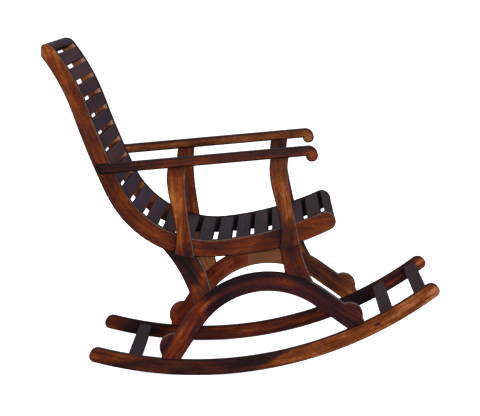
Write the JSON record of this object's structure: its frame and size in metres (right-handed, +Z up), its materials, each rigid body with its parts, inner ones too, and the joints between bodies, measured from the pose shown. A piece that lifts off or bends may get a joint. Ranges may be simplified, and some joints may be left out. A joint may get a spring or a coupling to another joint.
{
  "type": "rocking chair",
  "caption": "Slatted wooden rocking chair: bent side rails carry back and seat slats in one flowing line, with waisted arm posts, arched legs and long curved runners.",
  "frame": {"origin": "floor level under the middle of the chair, halfway between its rear and front ends and between its sides", "axes": "+X to the front of the chair, +Y to the sitter's left, +Z up"},
  "size_m": [1.1422, 0.638, 0.9574],
  "materials": {
    "rail": "clear satin varnish over figured rosewood-type timber",
    "arm": "clear satin varnish over figured rosewood-type timber",
    "post": "clear satin varnish over figured rosewood-type timber",
    "leg": "clear satin varnish over figured rosewood-type timber",
    "arch": "clear satin varnish over figured rosewood-type timber",
    "runner": "clear satin varnish over figured rosewood-type timber",
    "slat": "dark stain under satin varnish",
    "end_bar": "dark stain under satin varnish",
    "runner_bar": "dark stain under satin varnish",
    "tenon": "bare timber, hidden in the joints"
  },
  "bodies": {
    "root": {"arch_front_left": "arch", "arch_front_right": "arch", "arch_rear_left": "arch", "arch_rear_right": "arch", "arch_tenons": "tenon", "arm_left": "arm", "arm_right": "arm", "arm_tenons": "tenon", "crest_bar": "end_bar", "leg_foot_tenons": "tenon", "leg_front_left": "leg", "leg_front_right": "leg", "leg_head_tenons": "tenon", "leg_rear_left": "leg", "leg_rear_right": "leg", "nose_bar": "end_bar", "post_front_left": "post", "post_front_right": "post", "post_rear_left": "post", "post_rear_right": "post", "post_tenons": "tenon", "rail_left": "rail", "rail_right": "rail", "runner_bar_front": "runner_bar", "runner_bar_middle": "runner_bar", "runner_bar_rear": "runner_bar", "runner_left": "runner", "runner_right": "runner", "slat_01": "slat", "slat_02": "slat", "slat_03": "slat", "slat_04": "slat", "slat_05": "slat", "slat_06": "slat", "slat_07": "slat", "slat_08": "slat", "slat_09": "slat", "slat_10": "slat", "slat_11": "slat", "slat_12": "slat", "slat_13": "slat", "slat_14": "slat", "slat_15": "slat", "slat_16": "slat", "slat_17": "slat", "slat_18": "slat", "slat_19": "slat", "slat_20": "slat", "stile_tenons": "tenon", "toe_tenons": "tenon"}
  },
  "joints": []
}
